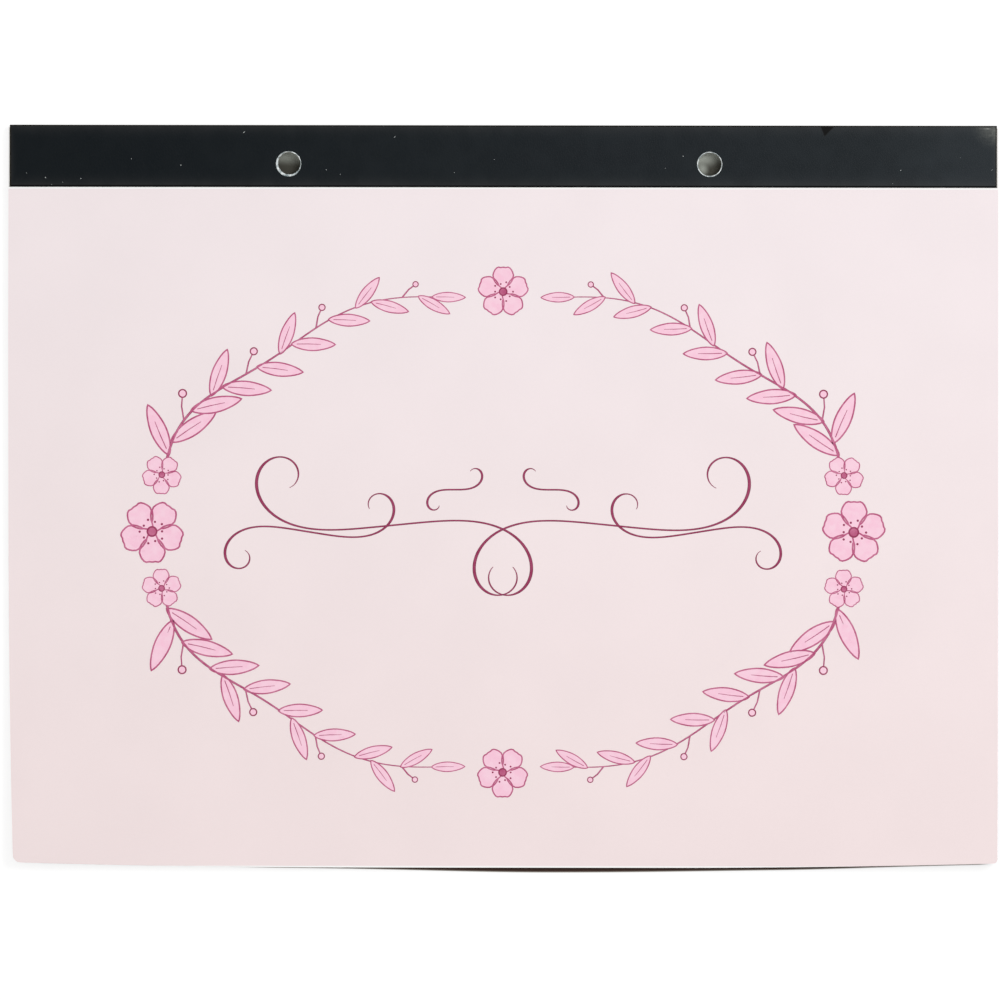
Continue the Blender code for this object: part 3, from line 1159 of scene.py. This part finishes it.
def makeSpray(xSide, ySide, leafMotif, budMotif, level):
    steps, stemWidth = wreathShape["steps"], wreathShape["stemWidth"]
    thick, loss = wreathShape["stemTaper"]
    points = [tuple(quarterPoint(step / steps, xSide, ySide)) for step in range(steps + 1)]
    widths = [stemWidth * (thick - loss * step / steps) for step in range(steps + 1)]
    made = [penStroke(points, widths, inkRose, level)]
    pairs = wreathShape["pairs"]
    widest, closing = wreathShape["spread"]
    firstRise, stepRise, endRise = wreathShape["leafRise"]
    footTurn, tipTurn = [math.radians(turn) for turn in wreathShape["budTurns"]]
    footPart, tipPart = wreathShape["stalkParts"]
    lookAhead = wreathShape["lookAhead"]
    for pair in range(pairs):
        share = (pair + wreathShape["firstLeaf"]) / pairs
        here = quarterPoint(share, xSide, ySide)
        heading = headingTo(here, quarterPoint(share + lookAhead, xSide, ySide))
        scale = 1 + (wreathShape["tipScale"] - 1) * share
        outer = xSide * ySide  # which hand of the stem looks out of the wreath
        hasBud = pair % 2 == 1
        for hand in (1, -1):
            if hand == -outer and hasBud:
                continue
            spread = hand * math.radians(widest - closing * share)
            spot = here if hand == 1 else quarterPoint(share + wreathShape["partnerLag"], xSide, ySide)
            height = level + (firstRise + stepRise * pair) * mm
            made.append(placedCopy(leafMotif, spot.x * mm, spot.y * mm, height, heading + spread, scale))
        if hasBud:
            # a bud on a stalk takes the outer leaf's place
            stalk = wreathShape["budStalk"] * scale
            rise, lean = heading - outer * footTurn, heading - outer * tipTurn
            bend = here + pointing(rise) * stalk * footPart
            budTip = bend + pointing(lean) * stalk * tipPart
            line = [tuple(here), tuple(bend), tuple(budTip)]
            made.append(penStroke(line, wreathShape["budWidths"], inkRose, level))
            height = level + wreathShape["budRise"] * mm
            made.append(placedCopy(budMotif, budTip.x * mm, budTip.y * mm, height, 0, scale))
    tip = quarterPoint(1.0, xSide, ySide)
    heading = headingTo(quarterPoint(1.0 - lookAhead, xSide, ySide), tip)
    made.append(placedCopy(leafMotif, tip.x * mm, tip.y * mm, level + endRise * mm, heading,
                           wreathShape["endLeafScale"]))
    return made


blossomShape = {
    "petals": 5,
    "petalStep": 0.002 * mm,  # each lies this much higher than the one before
    "centreRise": 0.014 * mm,
    "centreRadius": 1.7,
    "stamens": 10,
    "stamenRadius": 0.36,
    "stamenReach": (3.1, 3.8),  # in mm, by turns
    "sideScale": 1.0,
    "sideTurn": 0.3,
    "smallScale": 0.62,
    "smallTurn": 0.9,
    "smallShift": (-3.0, 17.5),  # from the big one beside it, in mm
    "middleScale": 0.8,
    "rise": 0.03 * mm,  # over the sprays
}


def makeBlossom(middle, motifs, angle, scale, level):
    made = []
    x, y = middle
    petals, stamens = blossomShape["petals"], blossomShape["stamens"]
    for index in range(petals):
        turn = angle + index * math.tau / petals
        height = level + index * blossomShape["petalStep"]
        made.append(placedCopy(motifs["petal"], x * mm, y * mm, height, turn, scale))
    top = level + blossomShape["centreRise"]
    made.append(placedCopy(motifs["centre"], x * mm, y * mm, top, 0, scale))
    for index in range(stamens):
        turn = angle + (index + 0.5) * math.tau / stamens
        reach = blossomShape["stamenReach"][index % 2] * scale
        made.append(placedCopy(motifs["stamen"], (x + reach * math.cos(turn)) * mm,
                               (y + reach * math.sin(turn)) * mm, top, 0, scale))
    return made


def makeWreath():
    level = coverHigh.z + inkShape["coverLift"]
    motifs = {
        "leaf": makeLeafMotif(),
        "bud": makeDisc(wreathShape["budRadius"], inkBlush),
        "petal": makePetalMotif(),
        "centre": makeDisc(blossomShape["centreRadius"], inkRose),
        "stamen": makeDisc(blossomShape["stamenRadius"], inkWine),
    }
    made = []
    for xSide in (1, -1):
        for ySide in (1, -1):
            made += makeSpray(xSide, ySide, motifs["leaf"], motifs["bud"], level)
    level += blossomShape["rise"]
    inward, away = blossomShape["smallShift"]
    for side in (1, -1):
        big = ovalPoint(0 if side == 1 else 180)
        made += makeBlossom(big, motifs, blossomShape["sideTurn"] * side,
                            blossomShape["sideScale"], level)
        for up in (1, -1):
            small = big + Vector((side * inward, up * away))
            made += makeBlossom(small, motifs, blossomShape["smallTurn"] * up,
                                blossomShape["smallScale"], level)
    for up in (1, -1):
        made += makeBlossom(ovalPoint(90 * up), motifs, math.pi / 2 * up,
                            blossomShape["middleScale"], level)
    wreath = joinPieces(made, "coverWreath")
    layOn(wreath, sheets["cover"], coverHigh.z)
    for motif in motifs.values():
        bpy.data.objects.remove(motif)
    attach(wreath, "cover_sheet")


makeWreath()
print("wreath drawn")


# plain numbers of the days on every month leaf

numberShape = {
    "size": 7.2 * mm,
    "fromSide": 2.4 * mm,
    "fromRule": 7.6 * mm,
    "monthSize": 17 * mm,
    "monthFoot": 71.5 * mm,
    "firstColumn": 2,  # where the first month starts
}
monthDays = [31, 28, 31, 30, 31, 30, 31, 31, 30, 31, 30, 31]


def makeNumber(text, size, ink):
    deselectAll()
    bpy.ops.object.text_add()
    made = bpy.context.object
    made.data.body = text
    made.data.size = size
    made.data.resolution_u = inkShape["curveSteps"]
    made.data.extrude = inkShape["thick"] / 2
    bpy.ops.object.convert(target="MESH")
    made = bpy.context.object
    made.data.materials.clear()
    paint(made, ink)
    return made


def makeDayNumbers():
    side = leafPrint["side"]
    column, row = gridPitch()
    numbers = []
    for day in range(1, max(monthDays) + 1):
        numbers.append(makeNumber(str(day), numberShape["size"], inkWine))
    columns, start = leafPrint["columns"], numberShape["firstColumn"]
    for index, tag in enumerate(leafTags):
        low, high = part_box(f"month_leaf_{tag}")
        level = high.z + inkShape["lift"]
        made = []
        for day in range(monthDays[index]):
            cell = start + day
            x = -side + (cell % columns) * column + numberShape["fromSide"]
            y = leafPrint["gridHead"] - (cell // columns) * row - numberShape["fromRule"]
            made.append(placedCopy(numbers[day], x, y, level))
        month = makeNumber(str(index + 1), numberShape["monthSize"], inkRose)
        shift(month, -side, numberShape["monthFoot"], level)
        made.append(month)
        printed = joinPieces(made, f"dayNumbers_{tag}")
        layOn(printed, sheets[f"month_leaf_{tag}"], high.z)
        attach(printed, f"leaf_{tag}")
        start = (start + monthDays[index]) % columns
    for number in numbers:
        bpy.data.objects.remove(number)


makeDayNumbers()
print("day numbers printed")


# stage, lamps and camera

cameraPlace = {
    "distance": 5.0,
    "frameWidth": 0.3078,
    "tilt": math.radians(1.5),
    "roll": math.radians(0.07),
    "aim": Vector((-0.90, -1.17, 4.0)) * mm,
    "sensor": 36,
    "clip": (0.1, 60),
}


def addCamera():
    tilt = cameraPlace["tilt"]
    back = Vector((0, -math.sin(tilt), math.cos(tilt)))
    turn = Matrix.Rotation(tilt, 3, "X") @ Matrix.Rotation(cameraPlace["roll"], 3, "Z")
    deselectAll()
    bpy.ops.object.camera_add(location=cameraPlace["aim"] + back * cameraPlace["distance"],
                              rotation=turn.to_euler())
    camera = bpy.context.object
    camera.name = "straightDown"
    camera.data.sensor_width = cameraPlace["sensor"]
    camera.data.lens = cameraPlace["sensor"] * cameraPlace["distance"] / cameraPlace["frameWidth"]
    camera.data.clip_start, camera.data.clip_end = cameraPlace["clip"]
    bpy.context.scene.camera = camera


lamps = {
    "keyLamp": {"place": (0.78, 0.48, 1.55), "size": 0.8, "power": 15.5},
    "fillLamp": {"place": (-1.3, -0.5, 1.25), "size": 1.6, "power": 9.0},
}
airStrength = 0.42


def addLamps():
    for name, lamp in lamps.items():
        deselectAll()
        bpy.ops.object.light_add(type="AREA", location=lamp["place"])
        made = bpy.context.object
        made.name = name
        made.data.size = lamp["size"]
        made.data.energy = lamp["power"]
        made.rotation_euler = (-Vector(lamp["place"])).to_track_quat("-Z", "Y").to_euler()


def seenDirectly():
    # 1 where the camera, a gloss or a glass looks at the surface, 0 for the light that it scatters
    path = addNode("ShaderNodeLightPath", {})
    seen = calc("MAXIMUM", path.outputs["Is Camera Ray"], path.outputs["Is Glossy Ray"])
    return calc("MAXIMUM", seen, path.outputs["Is Transmission Ray"])


def addWorld(strength):
    world = bpy.data.worlds.new("studioAir")
    world.use_nodes = True
    bench["tree"] = world.node_tree
    bench["shader"] = world.node_tree.nodes["Background"]
    setInput("Color", (1, 1, 1, 1))
    seen = addNode("ShaderNodeLightPath", {}).outputs["Is Camera Ray"]
    level = addNode("ShaderNodeMapRange", {"Value": seen, "To Min": strength, "To Max": 1.0})
    setInput("Strength", level.outputs[0])
    bpy.context.scene.world = world


deskShape = {
    "size": 9.0,
    "drop": 0.03 * mm,
    "pale": (0.80, 0.80, 0.80, 1),
    "seenPale": (0.33, 0.33, 0.33, 1),
    "glow": 0.77,  # added where it is seen directly: open ground is white, shadows stay faint
    "inset": (1.5 * mm, 7 * mm),  # its grey starts to show this far in from the sides, and is full here
}
# grey ground under the pad, as it shows in the two holes, with painted light and shade
holeGround = {
    "lit": colour(206, 212, 203),
    "dim": colour(77, 76, 70),
    "left": {"towards": (0.02, 1.00), "span": (-0.8 * mm, 4.8 * mm), "most": 0.85},
    "right": {"towards": (-0.36, 0.93), "span": (-1.6 * mm, 4.6 * mm), "most": 0.95},
    "patch": {"shift": (-2.1 * mm, -1.6 * mm), "reach": 2.4 * mm, "most": 0.55},  # a painted bright patch of light, in the right one
}
# painted shadow: a dark sliver of ground along the foot, where the pad's contact shadow falls
footShadowShape = {
    "colour": colour(80, 62, 56),
    "shadowFadeColour": colour(160, 150, 140),
    "rim": 0.55 * mm,
    "depth": 1.45 * mm,
    "middle": 14 * mm,
    "leftReach": 51.5 * mm,
    "rightReach": 78 * mm,
    "blur": 0.2 * mm,
    "nearFoot": 20 * mm,  # the ground belongs to the painted shadow this far in
    # from x, to x, rise at the first and at the second
    "rises": [(-150 * mm, -65 * mm, 2.4 * mm, 0.0), (85 * mm, 150 * mm, 0.0, 1.04 * mm),
              (132 * mm, 149 * mm, 0.0, 0.10 * mm)],
}


def groundInHoles(x, y):
    # painted light and shade: lighter on the side that the light reaches, with a painted bright patch of
    # light in the right hole
    shares = []
    for side in ("left", "right"):
        centre, ground = holeCentre(side), holeGround[side]
        across = times(minus(x, centre.x), ground["towards"][0])
        up = calc("MULTIPLY_ADD", minus(y, centre.y), ground["towards"][1], across)
        shares.append(ramp(up, *ground["span"], 0.0, ground["most"]))
    atRight = calc("GREATER_THAN", x, 0.0)
    atLeft = minus(1.0, atRight)
    share = calc("MULTIPLY_ADD", shares[1], atRight, times(shares[0], atLeft))
    patch, centre = holeGround["patch"], holeCentre("right")
    spot = (centre.x + patch["shift"][0], centre.y + patch["shift"][1], 0)
    flat = addNode("ShaderNodeCombineXYZ", {0: x, 1: y}).outputs[0]
    share = plus(share, ramp(distanceTo(flat, spot), 0.0, patch["reach"], patch["most"], 0.0))
    share = calc("MINIMUM", share, 1.0)
    return mixed(share, holeGround["dim"], holeGround["lit"])


def sliverLine(x):
    # how far towards the reader the painted shadow shows: a shallow bow, longer on the right
    onRight = calc("GREATER_THAN", x, footShadowShape["middle"])
    reach = calc("MULTIPLY_ADD", onRight, footShadowShape["rightReach"] - footShadowShape["leftReach"],
                 footShadowShape["leftReach"])
    offCentre = calc("DIVIDE", minus(x, footShadowShape["middle"]), reach)
    bow = calc("EXPONENT", times(times(offCentre, offCentre), -1.0))
    line = calc("MULTIPLY_ADD", bow, -footShadowShape["depth"], coverLow.y)
    for rise in footShadowShape["rises"]:
        line = plus(line, ramp(x, *rise))
    return line


def deskMaterial():
    x, y = placeParts(startMaterial("paleDesk"))[:2]
    seen = seenDirectly()
    pale = mixed(seen, deskShape["pale"], deskShape["seenPale"])
    within = minus(y, sliverLine(x))
    footMask = ramp(within, -footShadowShape["blur"], footShadowShape["blur"])
    rim, full = deskShape["inset"]
    sides = ramp(calc("ABSOLUTE", x), coverHigh.x - full, coverHigh.x - rim, 1.0, 0.0)
    head = calc("LESS_THAN", y, tapeHigh.y - rim)
    under = times(times(sides, head), footMask)
    # painted shadow along the foot, paler at its outer edge
    fromShadowEdge = ramp(within, 0.0, footShadowShape["rim"])
    footShadow = mixed(fromShadowEdge, footShadowShape["shadowFadeColour"], footShadowShape["colour"])
    nearFoot = calc("LESS_THAN", y, coverLow.y + footShadowShape["nearFoot"])
    inside = mixed(nearFoot, groundInHoles(x, y), footShadow)
    glow = times(seen, minus(1.0, under))
    setInput("Emission Color", (1, 1, 1, 1))
    setInput("Emission Strength", times(glow, deskShape["glow"]))
    return finishMaterial(mixed(under, pale, inside))


def addDesk():
    deselectAll()
    bpy.ops.mesh.primitive_plane_add(size=deskShape["size"], location=(0, 0, -deskShape["drop"]))
    desk = nameAdded("paleDesk")
    applyPlace(desk)
    paint(desk, deskMaterial())


addCamera()
addLamps()
addWorld(airStrength)
addDesk()
bpy.context.scene.view_settings.view_transform = "Standard"
print("camera, lamps and desk placed")
